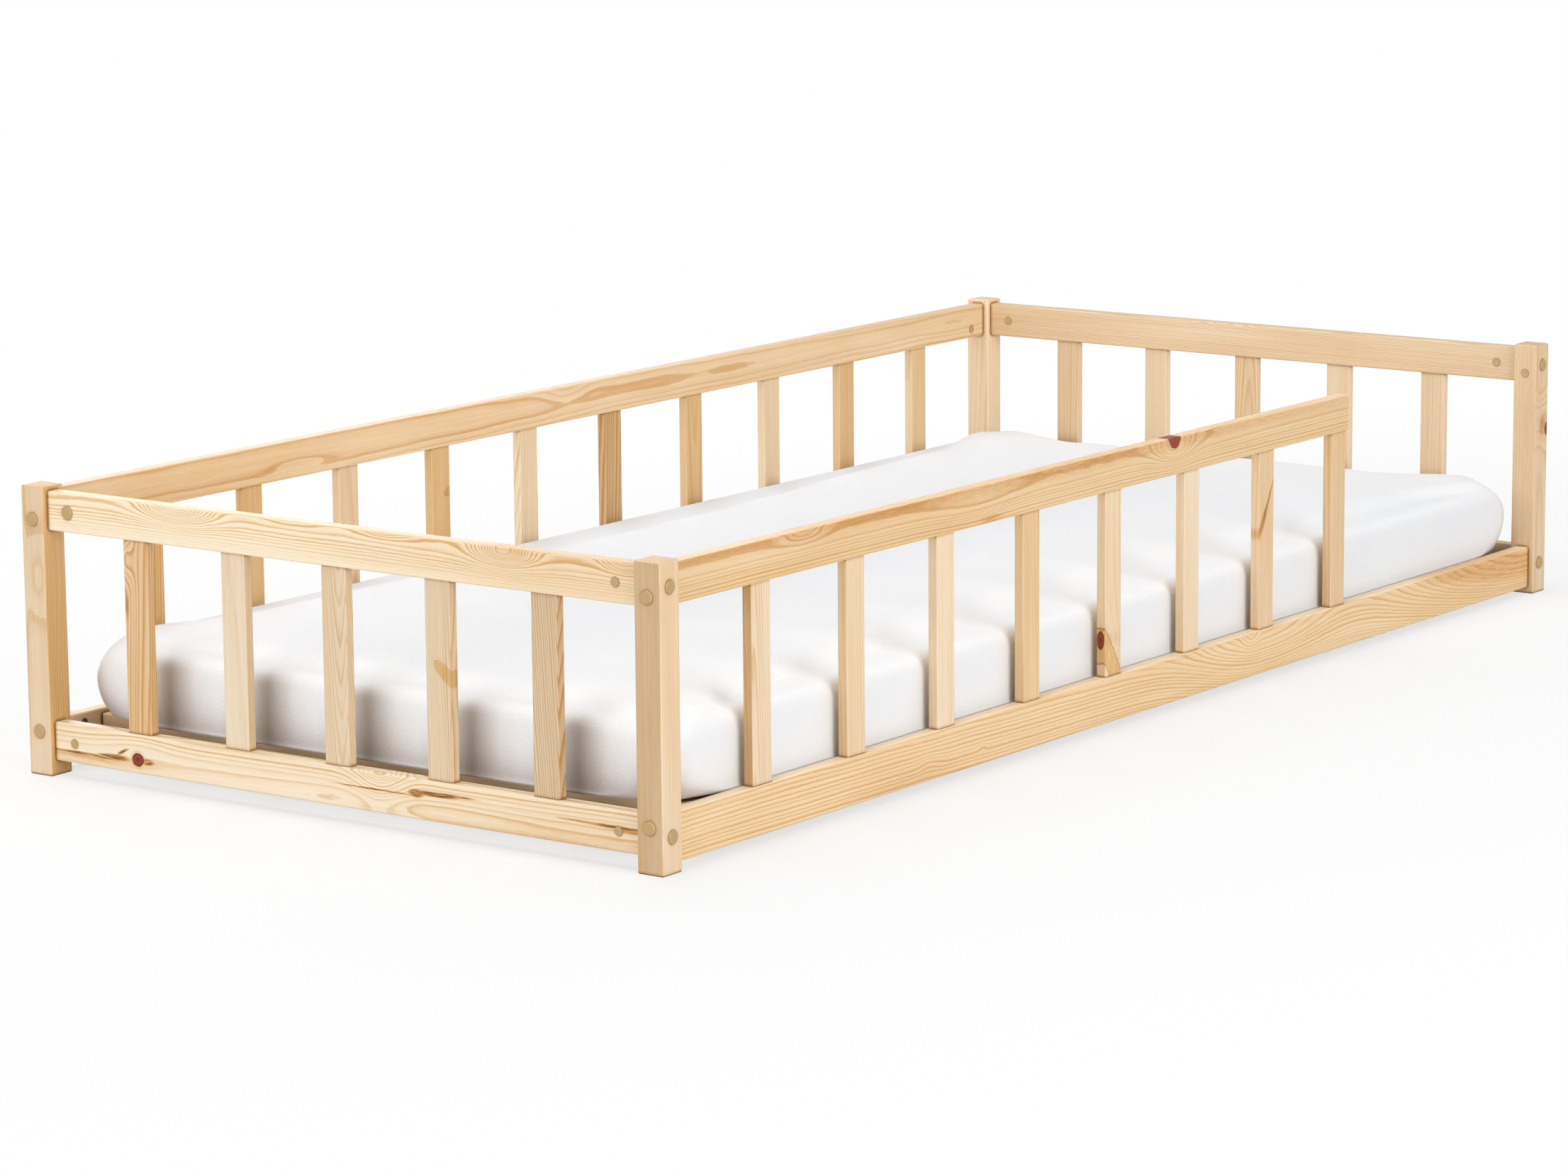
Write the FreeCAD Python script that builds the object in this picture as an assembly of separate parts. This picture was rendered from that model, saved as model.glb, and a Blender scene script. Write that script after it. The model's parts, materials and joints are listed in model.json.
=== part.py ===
import FreeCAD, Part
import collections
import math
import os

# A low floor bed for a child: four posts, railed sides of upright slats with an entry gap at the front,
# a slatted base on two bearers, and a mattress in a fitted sheet. Sizes are in millimetres.
# The origin is on the floor under the middle of the bed. +X runs along the bed, the front with the entry
# gap is -Y, and +Z is up.

Vector = FreeCAD.Vector
Joint = collections.namedtuple("Joint", "side level sign_x sign_y point inward nut_point nut_face")

# Mattress, and the room that the frame leaves round it
mattress_length = 1990.0
mattress_width = 900.0
mattress_edge_height = 97.0
mattress_crown = 4.0
mattress_corner_radius = 45.0
mattress_corner_softening = 45.0
mattress_top_round = 27.0
mattress_bottom_round = 10.0
mattress_side_draw = 2.0
mattress_end_room = 20.0
mattress_side_room = 5.0
mattress_shift = 15.0
mattress_round_steps = 5
mattress_crown_shares = (0.2, 0.45, 0.75)

# Fitted sheet over the mattress, open underneath inside its hem
sheet_thickness = 1.2
sheet_ease = 0.3
sheet_hem_width = 120.0
sheet_seat_gap = 0.3

# Posts
post_side = 36.0
post_height = 356.0
post_edge_round = 2.0
post_end_chamfer = 1.5

# Rails
rail_thickness = 20.0
rail_height = 48.0
rail_edge_round = 2.5
rail_free_end_chamfer = 1.5
long_bottom_rail_height = 58.0
top_rail_drop = 5.5
bottom_rail_top = 67.0
front_top_rail_overhang = 2.5

# Upright slats, with a stub tenon at each end that sits in a mortise in each rail
slat_width = 37.0
slat_thickness = 13.0
slat_edge_round = 1.5
back_slat_count = 10
front_slat_count = 8
front_slat_gap = 150.0
end_slat_count = 5
tenon_length = 12.0
tenon_edge_shoulder = 6.0
tenon_face_shoulder = 2.5
mortise_gap = 0.15
mortise_floor_gap = 0.5

# Slatted base
bearer_thickness = 24.0
bearer_height = 30.0
bearer_top = 45.0
bearer_end_gap = 62.0
bearer_edge_round = 2.0
base_slat_width = 100.0
base_slat_thickness = 16.0
base_slat_edge_round = 2.0
base_slat_end_gap = 2.5
base_slat_count = 10
strap_width = 30.0
strap_thickness = 1.5
strap_spacing = 480.0
strap_end_inset = 50.0

# Connector bolts through the posts, and the barrel nuts in the rails that they screw into
bolt_diameter = 6.0
bolt_gap = 0.5
bolt_head_diameter = 13.0
bolt_head_height = 4.0
bolt_head_gap = 0.5
bolt_socket_flats = 4.0
bolt_socket_depth = 2.5
bolt_counterbore_depth = 8.0
bolt_tail = 3.0
bolt_end_gap = 2.0
bolt_stagger = 11.0
nut_diameter = 12.0
nut_length = 14.0
nut_gap = 0.15
nut_inset = 32.0
nut_slot_width = 1.6
nut_slot_depth = 1.2

# Cover caps over the bolt heads, and plugs over the barrel nuts
cap_diameter = 17.0
cap_rise = 2.5
cap_rim_chamfer = 1.4
cap_stem_gap = 0.15
cap_end_gap = 0.5
plug_rise = 0.6
plug_gap = 0.15
plug_end_gap = 0.4
spare_plug_depth = 3.0

# Wood screws that hold the bearers and the outermost base slats
screw_diameter = 4.0
screw_head_diameter = 8.0
screw_length = 38.0
screw_gap = 0.15
bearer_screw_shares = (0.0, 0.5, 1.0)

# How far a cutting solid runs past the face that it cuts
overrun = 1.0

# Places that follow from the sizes above
rail_setback = (post_side - rail_thickness) / 2
rail_inner_inset = rail_setback + rail_thickness
bed_length = mattress_length + 2 * (mattress_end_room + rail_inner_inset)
bed_width = mattress_width + 2 * (mattress_side_room + rail_inner_inset)
post_x = (bed_length - post_side) / 2
post_y = (bed_width - post_side) / 2
clear_length = bed_length - 2 * post_side
clear_width = bed_width - 2 * post_side
top_rail_top = post_height - top_rail_drop
slat_top = top_rail_top - rail_height
slat_bottom = bottom_rail_top
tenon_width = slat_width - 2 * tenon_edge_shoulder
tenon_thickness = slat_thickness - 2 * tenon_face_shoulder
mortise_depth = tenon_length + mortise_floor_gap
rail_inner_y = bed_width / 2 - rail_inner_inset
bearer_y = rail_inner_y - bearer_thickness / 2
bearer_length = clear_length - 2 * bearer_end_gap
base_top = bearer_top + base_slat_thickness
base_pitch = (bearer_length - base_slat_width) / (base_slat_count - 1)
end_bolt_height = {"top": top_rail_top - rail_height / 2, "bottom": bottom_rail_top - rail_height / 2}
long_bolt_height = {
    "top": end_bolt_height["top"] - bolt_stagger,
    "bottom": end_bolt_height["bottom"] + bolt_stagger,
}
counterbore_diameter = bolt_head_diameter + 2 * bolt_head_gap
nut_bore_diameter = nut_diameter + 2 * nut_gap
bolt_reach = post_side + nut_inset + nut_diameter / 2 + bolt_tail
screw_head_height = (screw_head_diameter - screw_diameter) / 2

x_axis = Vector(1, 0, 0)
y_axis = Vector(0, 1, 0)
z_axis = Vector(0, 0, 1)


def save(name, shape):
    shape.exportStep(os.path.join("parts", name + ".step"))


def aim(shape, point, direction):
    """A copy with its own +Z along a direction, its +X upright where it can be, and its origin at a point."""
    up = x_axis if direction.z else z_axis
    aimed = shape.copy()
    aimed.Placement = FreeCAD.Placement(point, FreeCAD.Rotation(up, Vector(), direction, "ZXY"))
    return aimed


def stand(shape, x, y, along):
    """A copy of an upright shape at a place on plan, with its own +X along a rail."""
    stood = shape.copy()
    stood.Placement = FreeCAD.Placement(Vector(x, y, 0), FreeCAD.Rotation(x_axis, along))
    return stood


def outline(size_x, size_y, radius, z=0.0, draw=0.0):
    """A round-cornered rectangle, as a wire, with its sides drawn in at their middles where draw is set."""
    edges = []
    for normal, reach, run in (
        (-y_axis, size_y / 2, size_x / 2 - radius),
        (x_axis, size_x / 2, size_y / 2 - radius),
        (y_axis, size_y / 2, size_x / 2 - radius),
        (-x_axis, size_x / 2, size_y / 2 - radius),
    ):
        along = z_axis.cross(normal)
        level = z_axis * z
        start = level + normal * reach - along * run
        end = level + normal * reach + along * run
        if draw:
            side = Part.Arc(start, level + normal * (reach - draw), end)
        else:
            side = Part.LineSegment(start, end)
        centre = end - normal * radius
        bulge = centre + (normal + along).normalize() * radius
        corner = Part.Arc(end, bulge, centre + along * radius)
        edges += [side.toShape(), corner.toShape()]
    return Part.Wire(edges)


def bar(size_x, size_y, length, radius):
    """A length of timber with its long edges rounded, standing on the origin."""
    return Part.Face(outline(size_x, size_y, radius)).extrude(z_axis * length)


def block(size_x, size_y, low, high):
    """A plain upright block about the Z axis, between two heights."""
    return Part.makeBox(size_x, size_y, high - low, Vector(-size_x / 2, -size_y / 2, low))


def turned(profile):
    """A solid turned about the Z axis from its radius and height at each corner."""
    points = [Vector(radius, 0, height) for radius, height in profile]
    return Part.Face(Part.makePolygon(points + points[:1])).revolve(Vector(), z_axis, 360)


def drilled(timber, cutters):
    """The timber cut by each of the cutters that meets it."""
    met = [cutter for cutter in cutters if cutter.BoundBox.intersect(timber.BoundBox)]
    return timber.cut(met).Solids[0] if met else timber


def chamfered_end(timber, sign, axis_name, chamfer):
    """The timber with the outline of its low or high end face chamfered, by the sign."""
    flats = [face for face in timber.Faces if face.Surface.isPlanar()]
    end = max(flats, key=lambda face: getattr(face.CenterOfMass, axis_name) * sign)
    return timber.makeChamfer(chamfer, end.Edges)


def spaced_places(count, gap, clear):
    """Middles of slats that stand one gap apart, from the post at the low end on."""
    return [(gap + slat_width) * (i + 1) - (slat_width + clear) / 2 for i in range(count)]


def even_places(count, clear):
    """Middles of slats that stand with equal gaps between two posts."""
    return spaced_places(count, (clear - count * slat_width) / (count + 1), clear)


back_places = even_places(back_slat_count, clear_length)
end_places = even_places(end_slat_count, clear_width)
front_places = spaced_places(front_slat_count, front_slat_gap, clear_length)
front_top_rail_end = front_places[-1] + slat_width / 2 + front_top_rail_overhang

# Each side: the way its rails run, the middle of its rails on plan, and its slats' places along the rails
sides = {
    "front": (x_axis, Vector(0, -post_y, 0), front_places),
    "back": (x_axis, Vector(0, post_y, 0), back_places),
    "left": (y_axis, Vector(-post_x, 0, 0), end_places),
    "right": (y_axis, Vector(post_x, 0, 0), end_places),
}


def make_joint(side, level, sign_x, sign_y, point, inward, nut_face):
    nut_point = point + inward * (post_side + nut_inset)
    return Joint(side, level, sign_x, sign_y, point, inward, nut_point, nut_face)


def corner_joints():
    """Every bolted joint. Long rails have their nuts on the inner face, and end rails on the -X face."""
    joints = []
    for level in ("top", "bottom"):
        for sign_x, end in ((-1, "left"), (1, "right")):
            for sign_y, side in ((-1, "front"), (1, "back")):
                point = Vector(sign_x * bed_length / 2, sign_y * post_y, long_bolt_height[level])
                across = y_axis * -sign_y
                joints.append(make_joint(side, level, sign_x, sign_y, point, x_axis * -sign_x, across))
                point = Vector(sign_x * post_x, sign_y * bed_width / 2, end_bolt_height[level])
                joints.append(make_joint(end, level, sign_x, sign_y, point, across, -x_axis))
    return joints


def is_spare(joint):
    """The front top rail stops short, so one bolt hole in its right post is not used."""
    return (joint.side, joint.level, joint.sign_x) == ("front", "top", 1)


def is_open(joint):
    """The one barrel nut whose bore has no plug."""
    return (joint.side, joint.level, joint.sign_x) == ("back", "bottom", -1)


def is_capped_nut(joint):
    """The one barrel nut that has a cover cap instead of a plug."""
    return (joint.side, joint.level, joint.sign_y) == ("left", "top", 1)


def hexagon(flats):
    """A six-sided face about the Z axis, from its width across flats."""
    turns = [math.radians(60 * i) for i in range(6)]
    radius = flats / math.sqrt(3)
    corners = [Vector(radius * math.cos(turn), radius * math.sin(turn), 0) for turn in turns]
    return Part.Face(Part.makePolygon(corners + corners[:1]))


def bolt():
    """A connector bolt that runs along +Z from its counterbored head, with a socket for its key."""
    seat = bolt_counterbore_depth
    shank = bolt_diameter / 2
    head = bolt_head_diameter / 2
    top = seat - bolt_head_height
    body = turned([(0, top), (head, top), (head, seat), (shank, seat), (shank, bolt_reach), (0, bolt_reach)])
    socket = hexagon(bolt_socket_flats).extrude(z_axis * (bolt_socket_depth + overrun))
    socket.translate(z_axis * (top - overrun))
    return body.cut(socket).Solids[0]


def bolt_room(reach):
    """The counterbore and hole for a bolt that enters at the origin and runs along +Z."""
    wide = counterbore_diameter / 2
    hole = bolt_diameter / 2 + bolt_gap
    seat = bolt_counterbore_depth
    return turned([(0, -overrun), (wide, -overrun), (wide, seat), (hole, seat), (hole, reach), (0, reach)])


def barrel_nut(joint):
    """A cross-drilled nut, with a slot in its outer end that lines its hole up with the bolt."""
    across = nut_diameter + 2 * overrun
    slot = block(nut_slot_width, across, nut_length - nut_slot_depth, nut_length + overrun)
    start = joint.nut_point - joint.nut_face * (nut_length / 2)
    body = aim(Part.makeCylinder(nut_diameter / 2, nut_length).cut(slot), start, joint.nut_face)
    hole = Part.makeCylinder(bolt_diameter / 2 + nut_gap, across)
    start = joint.nut_point - joint.inward * (across / 2)
    return body.cut(aim(hole, start, joint.inward)).Solids[0]


def nut_room(joint):
    """The blind bore that a barrel nut and its plug sit in, from the rail's face."""
    depth = rail_thickness / 2 + nut_length / 2 + nut_gap
    mouth = joint.nut_point + joint.nut_face * (rail_thickness / 2 + overrun)
    return aim(Part.makeCylinder(nut_bore_diameter / 2, depth + overrun), mouth, -joint.nut_face)


def cap(stem_diameter, stem_length):
    """A cover cap on the origin, with its stem below and its head above."""
    stem = stem_diameter / 2
    head = cap_diameter / 2
    rim = cap_rise - cap_rim_chamfer
    return turned([
        (0, -stem_length), (stem, -stem_length), (stem, 0), (head, 0), (head, rim),
        (head - cap_rim_chamfer, cap_rise), (0, cap_rise),
    ])


def plug(length):
    """A plug in a barrel nut's bore: its face stands a little proud of the origin."""
    return Part.makeCylinder(nut_diameter / 2 - plug_gap, length + plug_rise, z_axis * -length)


def nut_face_point(joint):
    return joint.nut_point + joint.nut_face * (rail_thickness / 2)


def spare_plug_point(joint):
    return joint.point + joint.inward * post_side


def screw():
    """A countersunk wood screw that enters at the origin and runs along +Z."""
    head = screw_head_diameter / 2
    shank = screw_diameter / 2
    return turned([
        (0, 0), (head, 0), (shank, screw_head_height), (shank, screw_length - shank), (0, screw_length),
    ])


def screw_room():
    head = screw_head_diameter / 2 + screw_gap
    shank = screw_diameter / 2 + screw_gap
    end = screw_length + screw_gap
    return turned([
        (0, -overrun), (head, -overrun), (head, 0), (shank, screw_head_height), (shank, end), (0, end),
    ])


def base_slat_places():
    return [base_pitch * i - (bearer_length - base_slat_width) / 2 for i in range(base_slat_count)]


def screw_places():
    """Where each wood screw enters, and the way it runs."""
    places = base_slat_places()
    found = []
    for sign_y in (-1, 1):
        for x in (places[0], places[-1]):
            found.append((Vector(x, sign_y * bearer_y, base_top), -z_axis))
        for share in bearer_screw_shares:
            bay = round(share * (base_slat_count - 2))
            x = (places[bay] + places[bay + 1]) / 2
            inner = sign_y * (bearer_y - bearer_thickness / 2)
            found.append((Vector(x, inner, bearer_top - bearer_height / 2), y_axis * sign_y))
    return found


def tenons(length, gap):
    """One upright block that makes a slat's two tenons, or cuts the two mortises for them."""
    size_x = tenon_width + 2 * gap
    size_y = tenon_thickness + 2 * gap
    return block(size_x, size_y, slat_bottom - length, slat_top + length)


def upright_slat():
    body = bar(slat_width, slat_thickness, slat_top - slat_bottom, slat_edge_round)
    body.translate(z_axis * slat_bottom)
    return body.fuse(tenons(tenon_length, 0)).removeSplitter().Solids[0]


def make_posts(cutters):
    plain = bar(post_side, post_side, post_height, post_edge_round)
    for end in (-1, 1):
        plain = chamfered_end(plain, end, "z", post_end_chamfer)
    for sign_x, end in ((-1, "left"), (1, "right")):
        for sign_y, side in ((-1, "front"), (1, "back")):
            post = stand(plain, sign_x * post_x, sign_y * post_y, x_axis)
            save("post_" + side + "_" + end, drilled(post, cutters))


def make_rail(name, side, low_end, high_end, top, height, cutters):
    along, middle, _ = sides[side]
    start = middle + along * low_end + z_axis * (top - height / 2)
    rail = aim(bar(height, rail_thickness, high_end - low_end, rail_edge_round), start, along)
    if name == "front_top_rail":
        rail = chamfered_end(rail, 1, "x", rail_free_end_chamfer)
    save(name, drilled(rail, cutters))


def make_rails(cutters):
    for side in ("front", "back"):
        half = clear_length / 2
        top_end = front_top_rail_end if side == "front" else half
        make_rail(side + "_top_rail", side, -half, top_end, top_rail_top, rail_height, cutters)
        make_rail(side + "_bottom_rail", side, -half, half, bottom_rail_top, long_bottom_rail_height, cutters)
    for side in ("left", "right"):
        half = clear_width / 2
        make_rail(side + "_top_rail", side, -half, half, top_rail_top, rail_height, cutters)
        make_rail(side + "_bottom_rail", side, -half, half, bottom_rail_top, rail_height, cutters)


def make_slats():
    slat = upright_slat()
    for side, (along, middle, places) in sides.items():
        for i, place in enumerate(places, 1):
            point = middle + along * place
            save(side + "_slat_" + str(i), stand(slat, point.x, point.y, along))


def mortise_cutters():
    cutter = tenons(mortise_depth, mortise_gap)
    found = []
    for along, middle, places in sides.values():
        points = [middle + along * place for place in places]
        found += [stand(cutter, point.x, point.y, along) for point in points]
    return found


def make_base(cutters):
    for sign_y, side in ((-1, "front"), (1, "back")):
        bearer = bar(bearer_height, bearer_thickness, bearer_length, bearer_edge_round)
        start = Vector(-bearer_length / 2, sign_y * bearer_y, bearer_top - bearer_height / 2)
        save(side + "_bearer", drilled(aim(bearer, start, x_axis), cutters))
    length = 2 * (rail_inner_y - base_slat_end_gap)
    for i, x in enumerate(base_slat_places(), 1):
        slat = bar(base_slat_thickness, base_slat_width, length, base_slat_edge_round)
        start = Vector(x, -length / 2, base_top - base_slat_thickness / 2)
        save("base_slat_" + str(i), drilled(aim(slat, start, y_axis), cutters))
    run = bearer_length - 2 * strap_end_inset
    strap = block(run, strap_width, bearer_top - strap_thickness, bearer_top)
    straps = [stand(strap, 0, sign_y * strap_spacing / 2, x_axis) for sign_y in (-1, 1)]
    save("base_straps", Part.makeCompound(straps))


def make_fasteners(joints):
    held = [joint for joint in joints if not is_spare(joint)]
    one_bolt = bolt()
    save("connector_bolts", Part.makeCompound([aim(one_bolt, joint.point, joint.inward) for joint in held]))
    save("barrel_nuts", Part.makeCompound([barrel_nut(joint) for joint in held]))
    bolt_stem = bolt_counterbore_depth - bolt_head_height - cap_end_gap
    bolt_cap = cap(counterbore_diameter - 2 * cap_stem_gap, bolt_stem)
    nut_stem = rail_thickness / 2 - nut_length / 2 - plug_end_gap
    nut_cap = cap(nut_bore_diameter - 2 * cap_stem_gap, nut_stem)
    caps = [aim(bolt_cap, joint.point, -joint.inward) for joint in joints]
    caps += [aim(nut_cap, nut_face_point(joint), joint.nut_face) for joint in held if is_capped_nut(joint)]
    save("cover_caps", Part.makeCompound(caps))
    plugged = [joint for joint in held if not is_open(joint) and not is_capped_nut(joint)]
    plugs = [aim(plug(nut_stem), nut_face_point(joint), joint.nut_face) for joint in plugged]
    spare_length = spare_plug_depth - plug_end_gap
    spares = [joint for joint in joints if is_spare(joint)]
    plugs += [aim(plug(spare_length), spare_plug_point(joint), joint.inward) for joint in spares]
    save("nut_plugs", Part.makeCompound(plugs))
    one_screw = screw()
    screws = [aim(one_screw, point, direction) for point, direction in screw_places()]
    save("wood_screws", Part.makeCompound(screws))


def fastener_cutters(joints):
    found = []
    for joint in joints:
        if is_spare(joint):
            found.append(aim(bolt_room(post_side + overrun), joint.point, joint.inward))
            recess = Part.makeCylinder(nut_bore_diameter / 2, spare_plug_depth + overrun)
            mouth = spare_plug_point(joint) + joint.inward * overrun
            found.append(aim(recess, mouth, -joint.inward))
        else:
            found.append(aim(bolt_room(bolt_reach + bolt_end_gap), joint.point, joint.inward))
            found.append(nut_room(joint))
    return found + [aim(screw_room(), point, direction) for point, direction in screw_places()]


def mattress_section(inset, height, radius, offset):
    """One level outline of the mattress, or of a skin at an offset outside it."""
    length = mattress_length + 2 * (offset - inset)
    width = mattress_width + 2 * (offset - inset)
    return outline(length, width, radius + offset, height, mattress_side_draw)


def mattress_form(offset):
    """The mattress's soft form: rounded edges, softer corners, drawn sides, a crowned top. It stands at Z zero."""
    low = mattress_bottom_round + offset
    high = mattress_top_round + offset
    crest = mattress_edge_height + offset
    steps = [math.radians(90 * i / mattress_round_steps) for i in range(mattress_round_steps + 1)]
    sections = []
    for angle in steps:
        tuck = 1 - math.sin(angle)
        radius = mattress_corner_radius + mattress_corner_softening * tuck
        sections.append(mattress_section(low * tuck, low * (1 - math.cos(angle)) - offset, radius, offset))
    for angle in steps:
        tuck = 1 - math.cos(angle)
        radius = mattress_corner_radius + mattress_corner_softening * tuck
        sections.append(mattress_section(high * tuck, crest - high * (1 - math.sin(angle)), radius, offset))
    for share in mattress_crown_shares:
        inset = high + share * (mattress_width / 2 - mattress_top_round)
        rise = mattress_crown * (1 - (1 - share) ** 2)
        radius = (mattress_corner_radius + mattress_corner_softening) * (1 - share)
        sections.append(mattress_section(inset, crest + rise, radius, offset))
    return Part.makeLoft(sections, True, True)


def make_soft_parts():
    seat = base_top + sheet_seat_gap + sheet_thickness + sheet_ease
    place = Vector(mattress_shift, 0, seat)
    mattress = mattress_form(0.0)
    mattress.translate(place)
    save("mattress", mattress.Solids[0])
    shell = mattress_form(sheet_ease + sheet_thickness).cut(mattress_form(sheet_ease))
    opening_length = mattress_length - 2 * sheet_hem_width
    opening_width = mattress_width - 2 * sheet_hem_width
    low = -sheet_ease - sheet_thickness - overrun
    opening = bar(opening_length, opening_width, mattress_bottom_round - low, mattress_corner_radius)
    opening.translate(z_axis * low)
    sheet = shell.cut(opening)
    sheet.translate(place)
    save("fitted_sheet", sheet.Solids[0])


def main():
    os.makedirs("parts", exist_ok=True)
    joints = corner_joints()
    cutters = mortise_cutters() + fastener_cutters(joints)
    make_posts(cutters)
    make_rails(cutters)
    make_slats()
    make_base(cutters)
    make_fasteners(joints)
    make_soft_parts()


main()
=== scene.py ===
"""Looks of a child's low pine floor bed. Lengths are in metres, and in mm in the tables of timber."""

import json
import math
import random

import bmesh
import bpy
from mathutils import Matrix, Vector


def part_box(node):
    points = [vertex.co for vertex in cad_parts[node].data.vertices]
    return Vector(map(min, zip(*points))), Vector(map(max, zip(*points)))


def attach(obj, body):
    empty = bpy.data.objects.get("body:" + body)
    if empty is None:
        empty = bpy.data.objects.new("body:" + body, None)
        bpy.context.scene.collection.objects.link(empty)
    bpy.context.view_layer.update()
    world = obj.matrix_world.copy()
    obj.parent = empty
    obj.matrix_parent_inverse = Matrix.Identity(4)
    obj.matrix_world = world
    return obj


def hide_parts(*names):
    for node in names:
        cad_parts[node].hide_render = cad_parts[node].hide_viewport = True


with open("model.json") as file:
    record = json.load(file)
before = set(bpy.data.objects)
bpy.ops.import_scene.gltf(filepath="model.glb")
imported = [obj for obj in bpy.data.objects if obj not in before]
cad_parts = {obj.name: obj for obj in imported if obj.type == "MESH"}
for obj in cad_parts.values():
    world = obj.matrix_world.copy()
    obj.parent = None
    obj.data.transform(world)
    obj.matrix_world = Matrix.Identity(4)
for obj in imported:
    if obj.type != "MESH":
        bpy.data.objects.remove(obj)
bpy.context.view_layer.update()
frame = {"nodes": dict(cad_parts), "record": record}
scene = bpy.context.scene
mm = 0.001
x_axis = (1.0, 0.0, 0.0)
y_axis = (0.0, 1.0, 0.0)


def rgb(red, green, blue):
    return (red, green, blue, 1.0)


white = rgb(1.0, 1.0, 1.0)


# Camera, solved from the photo
photo_width_px = 2212
focal_px = 7402.25
sensor_width_mm = 36.0
camera_place = Vector((-5.5618, -3.9221, 1.3833))
camera_right = Vector((0.58497, -0.81101, -0.00838))
camera_down = Vector((-0.15321, -0.10035, -0.98309))
camera_forward = Vector((0.79645, 0.57636, -0.18295))


def add_camera():
    lens = bpy.data.cameras.new("camera")
    lens.sensor_fit = "HORIZONTAL"
    lens.sensor_width = sensor_width_mm
    lens.lens = sensor_width_mm * focal_px / photo_width_px
    lens.clip_end = 100.0
    camera = bpy.data.objects.new("camera", lens)
    turn = Matrix((camera_right, -camera_down, -camera_forward)).transposed().to_4x4()
    camera.matrix_world = Matrix.Translation(camera_place) @ turn
    scene.collection.objects.link(camera)
    scene.camera = camera


# Node trees
class Nodes:
    """Adds nodes to one tree and links whatever is put into them."""

    def __init__(self, tree):
        self.tree = tree

    def put(self, socket, value):
        if isinstance(value, bpy.types.NodeSocket):
            self.tree.links.new(value, socket)
        else:
            socket.default_value = value

    def add(self, kind, values=None, **settings):
        node = self.tree.nodes.new(kind)
        for name, value in settings.items():
            setattr(node, name, value)
        for key, value in (values or {}).items():
            self.put(node.inputs[key], value)
        return node

    def math(self, operation, *values, clamp=False):
        node = self.add("ShaderNodeMath", dict(enumerate(values)), operation=operation, use_clamp=clamp)
        return node.outputs[0]

    def times(self, value, factor):
        return self.math("MULTIPLY", value, factor)

    def centred(self, value, spread):
        """A value from 0 to 1 as a swing about zero."""
        return self.times(self.math("SUBTRACT", value, 0.5), spread)

    def vector(self, operation, *values):
        node = self.add("ShaderNodeVectorMath", dict(enumerate(values)), operation=operation)
        return node.outputs["Vector"]

    def measure(self, operation, *values):
        node = self.add("ShaderNodeVectorMath", dict(enumerate(values)), operation=operation)
        return node.outputs["Value"]

    def scaled(self, vector, factor):
        node = self.add("ShaderNodeVectorMath", {0: vector, "Scale": factor}, operation="SCALE")
        return node.outputs["Vector"]

    def split(self, vector):
        return self.add("ShaderNodeSeparateXYZ", {0: vector}).outputs

    def join(self, x, y, z):
        return self.add("ShaderNodeCombineXYZ", {0: x, 1: y, 2: z}).outputs[0]

    def noise(self, vector, pace, detail=0.0, roughness=0.5):
        """Pace is the noise's cells per metre, one number or one for each axis."""
        place = self.vector("MULTIPLY", vector, (pace,) * 3 if isinstance(pace, float) else pace)
        values = {"Vector": place, "Scale": 1.0, "Detail": detail, "Roughness": roughness}
        return self.add("ShaderNodeTexNoise", values).outputs["Fac"]

    def sway(self, vector, pace, height, detail=0.0):
        """Noise from minus height to plus height."""
        return self.centred(self.noise(vector, pace, detail), self.times(height, 2.0))

    def step(self, value, low, high):
        values = {"Value": value, "From Min": low, "From Max": high}
        return self.add("ShaderNodeMapRange", values, interpolation_type="SMOOTHSTEP").outputs[0]

    def remap(self, value, low, high):
        return self.add("ShaderNodeMapRange", {"Value": value, "To Min": low, "To Max": high}).outputs[0]

    def bell(self, value):
        """1 at zero, falling smoothly to nothing about two units away."""
        return self.math("EXPONENT", self.times(self.times(value, value), -1.0))

    def mix(self, factor, first, second, blend="MIX"):
        node = self.add("ShaderNodeMix", {0: factor, 6: first, 7: second}, data_type="RGBA", blend_type=blend)
        return node.outputs[2]

    def ramp(self, factor, stops, smooth="EASE"):
        node = self.add("ShaderNodeValToRGB", {0: factor})
        node.color_ramp.interpolation = smooth
        while len(node.color_ramp.elements) < len(stops):
            node.color_ramp.elements.new(0.5)
        for element, (place, level) in zip(node.color_ramp.elements, stops):
            element.position = place
            element.color = rgb(*level) if isinstance(level, tuple) else rgb(level, level, level)
        return node.outputs[0]

    def sum(self, *values):
        total = values[0]
        for value in values[1:]:
            total = self.math("ADD", total, value)
        return total

    def weighed(self, values, shares):
        return self.sum(*(self.times(value, share) for value, share in zip(values, shares)))


def new_group(name, inputs, outputs):
    tree = bpy.data.node_groups.new(name, "ShaderNodeTree")
    for label, kind in inputs:
        tree.interface.new_socket(label, in_out="INPUT", socket_type="NodeSocket" + kind)
    for label, kind in outputs:
        tree.interface.new_socket(label, in_out="OUTPUT", socket_type="NodeSocket" + kind)
    nodes = Nodes(tree)
    return nodes, nodes.add("NodeGroupInput").outputs, nodes.add("NodeGroupOutput").inputs


def new_material(name):
    material = bpy.data.materials.new(name)
    material.use_nodes = True
    material.node_tree.nodes.clear()
    nodes = Nodes(material.node_tree)
    shader = nodes.add("ShaderNodeBsdfPrincipled")
    nodes.add("ShaderNodeOutputMaterial", {"Surface": shader.outputs[0]})
    return material, nodes, shader


def emboss(nodes, shader, height, strength, depth):
    bump = nodes.add("ShaderNodeBump", {"Strength": strength, "Distance": depth, "Height": height})
    nodes.put(shader.inputs["Normal"], bump.outputs[0])


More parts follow.
